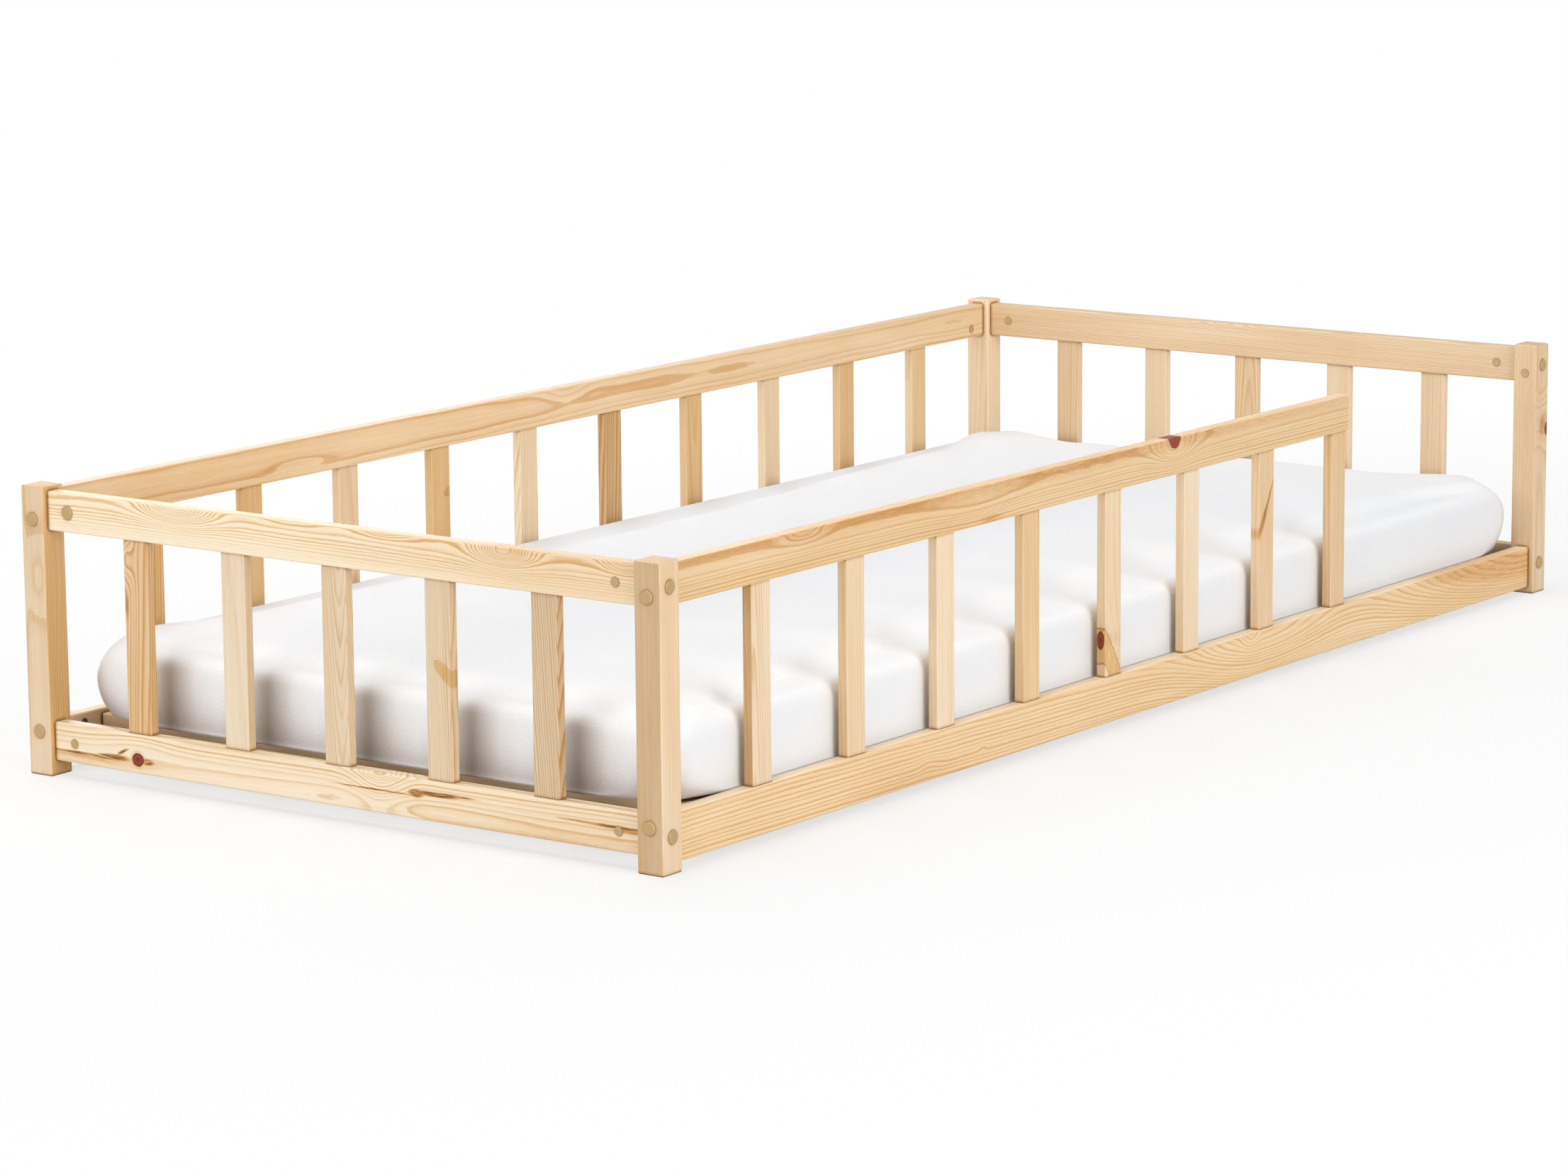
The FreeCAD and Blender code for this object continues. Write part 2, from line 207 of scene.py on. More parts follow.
# Pine: colours, where a mark's stops run from its rim inwards and the painted contact shade's from closed to
# open
pale_wood = rgb(0.970, 0.808, 0.612)
deep_wood = rgb(0.740, 0.455, 0.180)
late_tint = rgb(0.790, 0.590, 0.340)
end_tint = rgb(0.840, 0.790, 0.720)
stain_stops = ((0.0, (1.0, 1.0, 1.0)), (0.35, (0.80, 0.60, 0.36)), (0.70, (0.50, 0.300, 0.115)),
               (1.0, (0.200, 0.100, 0.034)))
knot_stops = ((0.0, (0.110, 0.032, 0.006)), (0.18, (0.070, 0.016, 0.003)), (0.33, (0.290, 0.036, 0.004)),
              (0.52, (0.250, 0.040, 0.006)), (0.78, (0.140, 0.022, 0.003)), (1.0, (0.050, 0.009, 0.001)))
spike_stops = ((0.0, (0.700, 0.500, 0.260)), (0.10, (0.620, 0.410, 0.170)), (0.18, (0.930, 0.800, 0.540)),
               (0.60, (0.900, 0.790, 0.520)), (1.0, (0.960, 0.880, 0.640)))
# Painted shade: how dark wood is painted as other pieces close in, standing for contact shadow in joints and
# corners
contact_shade_stops = ((0.40, (0.22, 0.13, 0.06)), (0.66, (0.58, 0.46, 0.33)), (0.80, (0.90, 0.85, 0.78)),
               (0.93, (1.0, 1.0, 1.0)))
contact_shade_reach = 5.2 * mm
shade_rays = 6
# Pace of each noise per metre: along the board, across its wide face and through it
grain_fibre = (22.0, 1100.0, 1100.0)
grain_pore = (55.0, 1500.0, 1500.0)
grain_streak = (4.0, 210.0, 210.0)
grain_blotch = (2.4, 14.0, 14.0)
grain_fade = (6.0, 60.0, 60.0)
bend_long = (1.4, 5.0, 5.0)
bend_short = (8.0, 26.0, 26.0)
bend_fray = (45.0, 190.0, 190.0)
stain_fibre = (45.0, 1100.0, 1100.0)
knot_ragged = (120.0, 220.0, 220.0)
knot_grit = (300.0, 700.0, 700.0)
# Rings: how much they bend, how unevenly they lie, and how dark each one is
bend_short_share = 0.20
ring_fray = 0.35 * mm
seed_step = (0.31, 0.17, 0.23)
seed_rings = 7.0
uneven_pace = 0.37
uneven_rings = 1.3
ring_profile = ((0.0, 0.0), (0.36, 0.06), (0.62, 0.34), (0.80, 1.0), (0.93, 0.92), (1.0, 0.0))
ring_strength_share = 0.55
fade_strength_share = 0.50
least_strength_share = 0.20
# What the noises change in colour, tone and relief
pore_span = (0.62, 0.78)
blotch_depth = 0.7
streak_depth = 0.35
fibre_tone = 0.16
pore_tone = -0.10
ring_relief = 0.5
pore_relief = -0.5
wood_bump = (0.35, 0.4 * mm)
wood_roughness = (0.62, 0.46)
wood_specular = 0.35
face_turn = (0.6, 0.9)
# Marks: ragged rims, rings in knots, and threads in stains
ragged_share = 0.10
rim_share = 0.05
bare_evenness = 1.9
mark_edge_share = 0.08
knot_ring_pace = 34.0
knot_ring_height = 0.06
knot_unevenness = 0.10
spike_unevenness = 0.12
stain_patchiness = (-0.5, 2.3)


def pine_group():
    """Growth rings round a pith that lies beside the board, with fibres along it."""
    nodes, given, wanted = new_group(
        "pine",
        (("Board", "Vector"), ("Shift", "Float"), ("Seed", "Float"), ("Pith", "Vector"), ("Ring", "Float"),
         ("Taper", "Float"), ("Wander", "Float"), ("Contrast", "Float"), ("Deep", "Float"), ("Tone", "Float"),
         ("Yellow", "Float")),
        (("Colour", "Color"), ("Height", "Float")))
    board = given["Board"]
    wander = given["Wander"]
    place = nodes.vector("ADD", board, nodes.scaled(seed_step, given["Seed"]))
    bend = nodes.sum(
        nodes.sway(place, bend_long, wander, 1.0),
        nodes.sway(place, bend_short, nodes.times(wander, bend_short_share)),
        nodes.sway(place, bend_fray, ring_fray, 1.0))
    across = nodes.vector("SUBTRACT", nodes.vector("MULTIPLY", board, (0.0, 1.0, 1.0)), given["Pith"])
    lean = nodes.times(nodes.split(board)[0], given["Taper"])
    depth = nodes.sum(nodes.measure("LENGTH", across), lean, bend, given["Shift"])
    even = nodes.math("DIVIDE", depth, given["Ring"])
    uneven = nodes.noise(nodes.join(nodes.times(even, uneven_pace), given["Seed"], 0.0), 1.0)
    ring = nodes.math("ADD", even, nodes.times(uneven, uneven_rings))
    late = nodes.ramp(nodes.math("FRACT", ring), ring_profile)
    count = nodes.math("ADD", nodes.math("FLOOR", ring), nodes.times(given["Seed"], seed_rings))
    strength = nodes.add("ShaderNodeTexWhiteNoise", {"W": count}, noise_dimensions="1D").outputs["Value"]
    fade = nodes.noise(place, grain_fade, 1.0)
    late = nodes.times(late, nodes.sum(nodes.times(strength, ring_strength_share),
                                       nodes.times(fade, fade_strength_share), least_strength_share))
    fibre = nodes.noise(place, grain_fibre, 2.0, 0.6)
    pore = nodes.step(nodes.noise(place, grain_pore, 1.0), *pore_span)
    streak = nodes.noise(place, grain_streak, 1.0)
    blotch = nodes.noise(place, grain_blotch, 2.0)
    deep = nodes.sum(given["Deep"], nodes.centred(blotch, blotch_depth), nodes.centred(streak, streak_depth))
    early = nodes.mix(deep, pale_wood, deep_wood)
    tinted = nodes.mix(1.0, early, late_tint, "MULTIPLY")
    colour = nodes.mix(nodes.math("MULTIPLY", late, given["Contrast"], clamp=True), early, tinted)
    level = nodes.sum(given["Tone"], nodes.centred(fibre, fibre_tone), nodes.times(pore, pore_tone), 1.0)
    yellow = nodes.math("MULTIPLY_ADD", level, given["Yellow"], level)
    nodes.put(wanted["Colour"], nodes.mix(1.0, colour, nodes.join(level, yellow, level), "MULTIPLY"))
    relief = nodes.sum(nodes.times(late, ring_relief), fibre, nodes.times(pore, pore_relief))
    nodes.put(wanted["Height"], relief)
    return nodes.tree


figure_numbers = ("Radius", "Length", "Reach", "Stretch", "Part", "Eye", "Soft", "Bare", "Knot", "Spike",
                  "Stain")
chain_start = {"Shift": 0.0, "Core": 0.0, "Blaze": 0.0, "Mark": 0.0}


def figure_group():
    """A knot, spike, eye or stain: bends the board's lines round itself and marks its own ground."""
    chain = [("Board", "Vector")] + [(key, "Float") for key in chain_start]
    nodes, given, wanted = new_group(
        "figure",
        chain + [("Centre", "Vector"), ("Axis", "Vector"), ("Way", "Vector")]
        + [(key, "Float") for key in figure_numbers],
        chain)
    board = given["Board"]
    away = nodes.vector("SUBTRACT", board, given["Centre"])
    flat = nodes.vector("SUBTRACT", away,
                        nodes.scaled(given["Axis"], nodes.measure("DOT_PRODUCT", away, given["Axis"])))
    along, up, through = nodes.split(flat)
    wide = nodes.measure("LENGTH", nodes.join(nodes.math("DIVIDE", along, given["Stretch"]), up, through))
    pull = nodes.bell(nodes.math("DIVIDE", wide, given["Reach"]))
    push = nodes.scaled(nodes.join(0.0, up, through), nodes.times(pull, given["Part"]))
    nodes.put(wanted["Board"], nodes.vector("SUBTRACT", board, push))
    nodes.put(wanted["Shift"], nodes.math("MULTIPLY_ADD", pull, given["Eye"], given["Shift"]))
    ragged = nodes.sway(board, knot_ragged, nodes.times(given["Radius"], ragged_share), 3.0)
    run = nodes.measure("DOT_PRODUCT", flat, given["Way"])
    aside = nodes.measure("LENGTH", nodes.vector("SUBTRACT", flat, nodes.scaled(given["Way"], run)))
    near = nodes.measure("LENGTH", nodes.join(nodes.math("DIVIDE", run, given["Length"]), aside, 0.0))
    edge = nodes.math("DIVIDE", nodes.math("ADD", near, ragged), given["Radius"])
    inside = nodes.math("SUBTRACT", 1.0, edge, clamp=True)
    bare = nodes.times(nodes.step(inside, 0.0, rim_share), given["Bare"])
    evened = nodes.math("MULTIPLY_ADD", given["Bare"], -bare_evenness, 1.0)
    inside = nodes.math("MULTIPLY_ADD", inside, evened, bare)
    soft = given["Soft"]
    cloud = nodes.step(edge, nodes.math("ADD", 1.0, soft), nodes.math("SUBTRACT", 1.0, soft))
    marks = (("Core", inside, "Knot"), ("Blaze", inside, "Spike"), ("Mark", cloud, "Stain"))
    for key, amount, share in marks:
        nodes.put(wanted[key], nodes.math("MAXIMUM", nodes.times(amount, given[share]), given[key]))
    return nodes.tree


pine_tree = pine_group()
figure_tree = figure_group()


def figure(at, axis, way=None, **numbers):
    """A figure at a place in mm, passing through the board along an axis, drawn out along a way."""
    made = dict.fromkeys(figure_numbers, 0.0)
    made.update(Radius=mm, Length=1.0, Reach=mm, Stretch=1.0, Soft=0.5)
    made.update(numbers)
    return dict(made, At=at, Axis=axis, Way=way)


def knot(at, radius, axis, length=1.1, bare=0.0, stretch=2.2, reach=3.0):
    """Bare is how much of the dark rim is left off."""
    return figure(at, axis, Radius=radius * mm, Length=length, Reach=reach * radius * mm, Stretch=stretch,
                  Part=0.72, Bare=bare, Knot=1.0, Stain=0.5, Soft=0.7)


def spike(at, axis, way, radius, length, bare=0.0):
    """A knot cut lengthwise."""
    return figure(at, axis, way, Radius=radius * mm, Length=length, Reach=2.2 * radius * mm, Stretch=length,
                  Part=0.5, Bare=bare, Spike=1.0, Stain=0.08, Soft=0.7)


def eye(at, axis, rise, reach, stretch=3.0):
    return figure(at, axis, Reach=reach * mm, Stretch=stretch, Eye=rise * mm)


def stain(at, axis, radius, length, dark=0.6, soft=0.6, way=None):
    return figure(at, axis, way, Radius=radius * mm, Length=length, Reach=3.0 * radius * mm, Stretch=length,
                  Part=0.2, Stain=dark, Soft=soft)


def open_share(nodes, reach):
    """How much of the space within reach of a surface is free."""
    return nodes.add("ShaderNodeAmbientOcclusion", {"Distance": reach}, samples=shade_rays).outputs["AO"]


def painted_contact_shade(nodes):
    """Painted shade: darkens the last few millimetres of wood beside another piece, where contact shadow
    falls.
    """
    return nodes.ramp(open_share(nodes, contact_shade_reach), contact_shade_stops)


def figure_chain(nodes, board, figures, centre, order):
    """Bends the board round each figure in turn, and gathers their marks."""
    chain = dict(chain_start, Board=board)
    for made in figures:
        at = Vector(made["At"]) * mm - centre
        axis = Vector(made["Axis"]).normalized()
        way = Vector(made["Way"]).normalized() if made["Way"] else None
        values = {key: made[key] for key in figure_numbers}
        values["Centre"] = [at[i] for i in order]
        values["Axis"] = [axis[i] for i in order]
        values["Way"] = [way[i] for i in order] if way else x_axis
        values.update(chain)
        step = nodes.add("ShaderNodeGroup", values, node_tree=figure_tree)
        chain = {key: step.outputs[key] for key in chain}
    return chain


def mark_figures(nodes, colour, chain):
    """Lays stains, then spikes, then knots over plain wood."""
    grit = nodes.noise(chain["Board"], knot_grit, 3.0, 0.7)
    thread = nodes.noise(chain["Board"], stain_fibre, 2.0, 0.6)
    patchy = nodes.math("MULTIPLY", chain["Mark"], nodes.remap(thread, *stain_patchiness), clamp=True)
    colour = nodes.mix(1.0, colour, nodes.ramp(patchy, stain_stops, "LINEAR"), "MULTIPLY")
    rings = nodes.times(nodes.math("SINE", nodes.times(chain["Core"], knot_ring_pace)), knot_ring_height)
    rough = nodes.remap(grit, -knot_unevenness, knot_unevenness)
    heart = nodes.math("ADD", chain["Core"], nodes.math("ADD", rings, rough))
    blaze = nodes.math("ADD", chain["Blaze"], nodes.remap(grit, -spike_unevenness, spike_unevenness))
    spike_wood = nodes.mix(1.0, colour, nodes.ramp(blaze, spike_stops), "MULTIPLY")
    colour = nodes.mix(nodes.step(chain["Blaze"], 0.0, mark_edge_share), colour, spike_wood)
    return nodes.mix(nodes.step(chain["Core"], 0.0, mark_edge_share), colour, nodes.ramp(heart, knot_stops))


def pine_material(name, grain, seed, pith, ring, taper, wander, contrast, fade, shade, yellow, figures):
    """Grain names the axes along the board, across its wide face and through it."""
    material, nodes, shader = new_material("pine_" + name)
    low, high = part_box(name)
    centre = (low + high) / 2.0
    order = ["xyz".index(axis) for axis in grain]
    source = nodes.add("ShaderNodeTexCoord")
    local = nodes.split(nodes.vector("SUBTRACT", source.outputs["Object"], centre))
    chain = figure_chain(nodes, nodes.join(*(local[i] for i in order)), figures, centre, order)
    normal = nodes.split(source.outputs["Normal"])
    end_on, edge_on = (nodes.step(nodes.math("ABSOLUTE", normal[i]), *face_turn) for i in order[:2])
    deep, tone, drift, narrow_depth_with_painted_light, narrow_tone_with_painted_light = shade
    # Narrow sides carry painted shade and painted light through their own depth and tone gains.
    deep = nodes.math("MULTIPLY_ADD", edge_on, narrow_depth_with_painted_light, deep)
    values = {
        "Board": chain["Board"], "Shift": chain["Shift"], "Seed": seed, "Ring": ring * mm, "Taper": taper,
        "Pith": (0.0, pith[0] * mm, pith[1] * mm), "Wander": wander * mm, "Yellow": yellow,
        "Contrast": nodes.math("MULTIPLY_ADD", local[order[1]], fade / mm, contrast),
        "Deep": nodes.math("MULTIPLY_ADD", local[order[0]], drift, deep),
        "Tone": nodes.math("MULTIPLY_ADD", edge_on, narrow_tone_with_painted_light, tone)}
    wood = nodes.add("ShaderNodeGroup", values, node_tree=pine_tree)
    height = wood.outputs["Height"]
    colour = wood.outputs["Colour"]
    colour = nodes.mix(end_on, colour, nodes.mix(1.0, colour, end_tint, "MULTIPLY"))
    if figures:
        colour = mark_figures(nodes, colour, chain)
    # The base colour carries painted shade where other pieces stand close.
    nodes.put(shader.inputs["Base Color"], nodes.mix(1.0, colour, painted_contact_shade(nodes), "MULTIPLY"))
    nodes.put(shader.inputs["Roughness"], nodes.remap(height, *wood_roughness))
    emboss(nodes, shader, height, *wood_bump)
    shader.inputs["Specular IOR Level"].default_value = wood_specular
    return material


# Timber as cut: pith beside the board (mm across, mm through), ring width (mm), taper, wander (mm), contrast
# of the rings, seed, and the contrast's change per mm across
def cut(pith, ring, taper, wander, contrast, seed, fade=0.0):
    return dict(pith=pith, ring=ring, taper=taper, wander=wander, contrast=contrast, seed=seed, fade=fade)


timber_seed = 11
usual_reach = (34.0, 90.0)
usual_ring = (2.2, 4.2)
usual_taper = (-0.02, 0.02)
usual_wander = (1.2, 2.4)
usual_contrast = (0.3, 0.65)
usual_seed = (0.0, 20.0)
timber = {
    "left_top_rail": cut((28, 48), 2.0, 0.003, 2.6, 1.05, 1.3, 0.040),
    "left_bottom_rail": cut((-17, 17), 4.8, 0.006, 2.6, 0.95, 2.1, 0.012),
    "front_top_rail": cut((19, 10), 3.6, 0.002, 3.2, 1.0, 3.7),
    "front_bottom_rail": cut((38, 30), 3.3, -0.005, 4.5, 0.95, 4.4),
    "back_top_rail": cut((4, -30), 5.2, 0.006, 9.0, 0.9, 5.2),
    "right_top_rail": cut((40, -24), 2.4, 0.014, 3.0, 0.9, 6.6),
    "post_front_left": cut((60, 75), 1.5, 0.006, 1.5, 0.5, 7.9),
    "post_back_left": cut((40, -4), 4.0, 0.004, 2.0, 0.9, 8.8),
    "post_front_right": cut((0, 50), 2.6, 0.006, 2.0, 0.7, 9.1),
    "left_slat_1": cut((70, 20), 3.2, 0.07, 1.6, 1.5, 10.3),
    "left_slat_2": cut((70, 30), 2.5, 0.01, 1.0, 0.8, 11.6),
    "left_slat_3": cut((-8, 8), 2.6, -0.055, 1.4, 0.65, 12.2),
    "left_slat_4": cut((20, 90), 5.5, 0.02, 1.6, 0.3, 13.5),
    "left_slat_5": cut((-26, 22), 3.9, 0.03, 2.6, 1.7, 14.7),
    "front_slat_1": cut((-14, 8), 3.4, 0.02, 1.4, 0.75, 16.2),
    "front_slat_3": cut((60, 20), 3.8, 0.01, 1.2, 0.5, 17.4),
    "back_slat_1": cut((30, -20), 4.6, 0.02, 2.0, 1.3, 18.5),
    "back_slat_5": cut((50, -20), 2.6, 0.06, 2.0, 0.9, 19.3),
    "back_slat_6": cut((30, -30), 4.2, 0.03, 3.0, 2.2, 15.1),
    "right_slat_3": cut((-6, -22), 3.6, 0.04, 3.0, 0.9, 20.6),
}

# Depth of colour between pale and deep wood
wood_depth = {"ivory": 0.08, "pale": 0.22, "straw": 0.42, "honey": 0.60, "amber": 0.90}
usual_depth = 0.50
boards_of = {
    "ivory": ("left_top_rail", "left_bottom_rail", "left_slat_4"),
    "pale": ("left_slat_2", "left_slat_3", "front_slat_1", "front_slat_3", "front_slat_6", "back_slat_5",
             "post_back_right"),
    "straw": ("left_slat_1", "front_slat_2", "front_slat_5", "back_slat_8", "right_slat_1", "right_slat_2",
              "right_slat_4", "right_top_rail", "post_front_left", "post_front_right"),
    "honey": ("left_slat_5", "front_slat_4", "front_slat_7", "front_slat_8", "back_slat_3", "back_slat_10",
              "right_slat_3", "right_slat_5", "front_top_rail", "front_bottom_rail", "back_top_rail"),
    "amber": ("back_slat_1", "back_slat_2", "back_slat_4", "back_slat_6", "back_slat_7", "back_slat_9",
              "post_back_left"),
}
depth_of = {board: wood_depth[kind] for kind, boards in boards_of.items() for board in boards}
# Change of tone, and what depth and tone gain on the narrow sides, for a side's slats and for single boards
# The narrow-side gains are partly wood colour and partly painted shade and painted light on sides that the
# lamps light differently
usual_tone = (-0.06, 0.0, 0.0)
slat_tone = {"left": (-0.17, 0.15, 0.05), "front": (-0.03, 0.20, -0.10),
             "back": (-0.07, -0.15, 0.05), "right": (-0.17, -0.20, 0.10)}
board_tone = {
    "left_top_rail": (-0.03, -0.15, -0.05), "left_bottom_rail": (-0.06, -0.10, -0.05),
    "front_top_rail": (0.0, -0.50, 0.05), "front_bottom_rail": (0.07, -0.50, 0.05),
    "back_top_rail": (-0.04, -0.20, -0.10), "right_top_rail": (-0.16, 0.0, -0.05),
    "post_front_left": (-0.05, 0.30, -0.20), "post_back_left": (-0.08, -0.50, -0.05),
    "post_front_right": (-0.10, 0.0, -0.05), "post_back_right": (0.0, 0.20, -0.05),
    "left_slat_1": (-0.24, 0.20, 0.12), "left_slat_4": (-0.15, 0.45, 0.0), "left_slat_5": (-0.08, 0.10, 0.0),
    "front_slat_1": (-0.07, 0.65, -0.15), "front_slat_4": (0.0, 0.0, -0.10),
    "front_slat_7": (-0.03, -0.05, -0.05), "back_slat_6": (-0.20, 0.0, 0.05),
}
# Change of depth per metre along a board
drift_of = {"left_top_rail": -0.7, "left_bottom_rail": -0.2, "right_top_rail": 0.2}


def shade_of(name):
    side, kind = name.split("_")[:2]
    whole = slat_tone.get(side, usual_tone) if kind == "slat" else usual_tone
    tone, narrow_depth_with_painted_light, narrow_tone_with_painted_light = board_tone.get(name, whole)
    return depth_of.get(name, usual_depth), tone, drift_of.get(name, 0.0), narrow_depth_with_painted_light, narrow_tone_with_painted_light


# What green gains in the yellower boards
yellow_of = {"left_top_rail": 0.015, "left_bottom_rail": 0.010, "front_top_rail": 0.015,
             "front_bottom_rail": 0.020}
figures_of = {
    "left_top_rail": (
        eye((-1035, 237, 350), x_axis, -20.0, 18.0, 2.8),
        eye((-1035, 60, 354), x_axis, -4.0, 10.0, 5.0),
        eye((-1035, -82, 354), x_axis, -7.0, 11.0, 4.0),
        eye((-1035, -256, 346), x_axis, -20.0, 15.0, 2.4),
        stain((-1035, -262, 350), x_axis, 9.0, 3.0, 0.16, 0.9),
        eye((-1035, -430, 352), x_axis, -11.0, 13.0, 2.2)),
    "left_bottom_rail": (
        knot((-1035, 312, 36), 8.6, x_axis, 1.12),
        stain((-1035, 352, 35.5), x_axis, 1.6, 14.0, 1.0, 0.5),
        stain((-1035, 336, 39), x_axis, 1.1, 8.0, 0.9, 0.5, (0.0, 1.0, -0.2)),
        stain((-1035, 405, 33.5), x_axis, 1.4, 36.0, 0.9),
        stain((-1035, 405, 31), x_axis, 2.8, 17.0, 0.3, 0.8),
        stain((-1035, 296, 35), x_axis, 1.0, 9.0, 0.9),
        eye((-1035, -66, 74), x_axis, 26.0, 40.0, 0.9),
        eye((-1035, -150, 35), x_axis, -4.0, 13.0, 12.0),
        stain((-1035, -58, 46.5), x_axis, 0.9, 60.0, 0.9),
        stain((-1035, -121, 49.5), x_axis, 4.4, 2.4, 1.0, 0.45),
        stain((-1035, -150, 51), x_axis, 2.5, 12.0, 1.0, 0.5),
        stain((-1035, -178, 52.5), x_axis, 1.3, 23.0, 0.9, 0.5),
        stain((-1035, -360, 47.5), x_axis, 1.0, 28.0, 0.8),
        stain((-1035, -415, 47), x_axis, 1.6, 24.0, 1.0),
        stain((-1035, -432, 44.5), x_axis, 2.2, 10.0, 0.5, 0.8)),
    "front_top_rail": (
        stain((-250, -475, 347), y_axis, 10.0, 90.0, 0.26, 0.9),
        eye((-758, -475, 352), y_axis, -12.0, 12.0, 3.2),
        eye((-400, -475, 325), y_axis, -5.0, 34.0, 3.0),
        stain((-372, -475, 309), y_axis, 4.0, 5.0, 0.3, 0.9),
        knot((49, -475, 354), 15.5, y_axis, 1.0, bare=0.32, stretch=1.6, reach=1.6),
        eye((45, -475, 352), y_axis, -17.0, 24.0, 2.2)),
    "front_bottom_rail": (
        eye((-505, -475, 30), y_axis, 3.0, 12.0, 2.0),
        eye((-390, -475, 30), y_axis, 2.5, 6.0, 1.5),
        eye((232, -475, 62), y_axis, -26.0, 140.0, 1.0),
        eye((240, -475, 66), y_axis, -6.0, 20.0, 0.95),
        eye((385, -475, 50), y_axis, -11.0, 115.0, 1.0),
        eye((1010, -475, 40), y_axis, -58.0, 200.0, 2.1),
        stain((-560, -475, 22), y_axis, 14.0, 8.0, 0.10, 0.9),
        stain((860, -475, 62), y_axis, 22.0, 9.0, 0.26, 0.35, (1.0, 0.0, -0.12))),
    "front_slat_5": (
        spike((-103, -471.5, 98), y_axis, (34.0, 0.0, -53.0), 14.0, 5.0),
        knot((-109, -464.5, 114), 5.6, x_axis, 2.2)),
    "front_slat_7": (
        stain((284, -471.5, 228), y_axis, 1.7, 20.0, 0.85, way=(32.0, 0.0, 66.0)),
        stain((275, -471.5, 210), y_axis, 4.5, 4.5, 0.7, way=(32.0, 0.0, 66.0)),
        knot((252, -471.5, 191), 2.2, y_axis, 1.3)),
    "post_front_right": (
        knot((1043, -483, 234), 9.0, (0.2, 1.0, 0.0), 1.1, 0.3),
        stain((1034, -483, 240), y_axis, 6.0, 2.0, 0.5, 0.9),
        eye((1007, -482, 250), x_axis, 8.0, 14.0, 2.0)),
    "left_slat_2": (
        spike((-1031.5, -168, 192), x_axis, (0.0, -25.7, -22.0), 8.5, 2.9, 0.4),),
    "left_slat_5": (
        eye((-1031.5, 329, 278), x_axis, -14.0, 14.0, 1.9),
        stain((-1031.5, 326, 224), x_axis, 3.4, 4.0, 0.5, 0.8)),
    "back_slat_4": (
        spike((-262, 458.5, 242), y_axis, (1.0, 0.0, 0.3), 6.0, 2.0),),
    "back_top_rail": (
        eye((-15, 455, 346), y_axis, 8.0, 16.0, 3.0),
        eye((-560, 455, 322), y_axis, 6.0, 9.0, 8.0),
        stain((-700, 455, 325), y_axis, 30.0, 12.0, 0.08, 0.9)),
    "right_top_rail": (
        eye((1015, 71, 352), x_axis, 4.0, 8.0, 2.5),
        eye((1015, 9, 353), x_axis, 4.0, 8.0, 2.5)),
    "post_back_left": (
        eye((-1043, 460, 245), x_axis, 8.0, 17.0, 3.2),),
}
grain_axes = {"front_rail": "xzy", "back_rail": "xzy", "left_rail": "yzx", "right_rail": "yzx",
              "front_slat": "zxy", "back_slat": "zxy", "left_slat": "zyx", "right_slat": "zyx",
              "post": "zxy", "bearer": "xzy", "base": "yxz"}


def grain_of(name):
    if name.startswith("post"):
        return grain_axes["post"]
    if name.startswith("base"):
        return grain_axes["base"]
    if name.endswith("bearer"):
        return grain_axes["bearer"]
    kind = "rail" if name.endswith("rail") else "slat"
    return grain_axes[name.split("_")[0] + "_" + kind]


def usual_timber(chance):
    """A board of no special figure: any cut, fine to middling rings."""
    turn = chance.uniform(0.0, 2.0 * math.pi)
    reach = chance.uniform(*usual_reach)
    pith = (reach * math.cos(turn), reach * math.sin(turn))
    spans = (usual_ring, usual_taper, usual_wander, usual_contrast, usual_seed)
    return cut(pith, *(chance.uniform(*span) for span in spans))


def wear(name, material):
    for place in frame["nodes"][name].material_slots:
        place.material = material


def dress_timber():
    chance = random.Random(timber_seed)
    for name in sorted(frame["nodes"]):
        usual = usual_timber(chance)
        if slot_of[name] == "pine":
            wear(name, pine_material(name, grain_of(name), shade=shade_of(name),
                                     yellow=yellow_of.get(name, 0.0), figures=figures_of.get(name, ()),
                                     **timber.get(name, usual)))


# Fittings: two colours that a noise mixes, its pace per metre, roughness, and relief as strength and depth
cap_colours = (rgb(0.44, 0.280, 0.114), rgb(0.54, 0.360, 0.162))
cap_cloud = 240.0
cap_grain = 2600.0
cap_roughness = (0.38, 0.52)
cap_bump = (0.25, 0.2 * mm)
# Painted shade: the steel is kept dark, standing in for the shadow in the open bore where a barrel nut shows
painted_dark_steel_colours = (rgb(0.16, 0.16, 0.155), rgb(0.24, 0.24, 0.23))
steel_spangle = 700.0
steel_scratch = (300.0, 300.0, 5000.0)
steel_roughness = (0.26, 0.48)
webbing_colours = (rgb(0.66, 0.64, 0.58), rgb(0.84, 0.82, 0.76))
webbing_pitch = (2.0 * mm, 1.4 * mm)
webbing_levels = (0.3, 0.8)
webbing_roughness = 0.85
webbing_bump = (0.5, 0.4 * mm)


def plastic_material():
    material, nodes, shader = new_material("cap_plastic")
    place = nodes.add("ShaderNodeTexCoord").outputs["Object"]
    cloud = nodes.noise(place, cap_cloud, 2.0)
    fine = nodes.noise(place, cap_grain, 1.0)
    nodes.put(shader.inputs["Base Color"], nodes.mix(cloud, *cap_colours))
    nodes.put(shader.inputs["Roughness"], nodes.remap(fine, *cap_roughness))
    emboss(nodes, shader, fine, *cap_bump)
    return material


def steel_material():
    material, nodes, shader = new_material("zinc_steel")
    place = nodes.add("ShaderNodeTexCoord").outputs["Object"]
    spangle = nodes.noise(place, steel_spangle, 2.0)
    scratch = nodes.noise(place, steel_scratch, 1.0)
    # Dark steel colours carry painted shade for the bore.
    nodes.put(shader.inputs["Base Color"], nodes.mix(spangle, *painted_dark_steel_colours))
    nodes.put(shader.inputs["Roughness"], nodes.remap(scratch, *steel_roughness))
    shader.inputs["Metallic"].default_value = 1.0
    return material


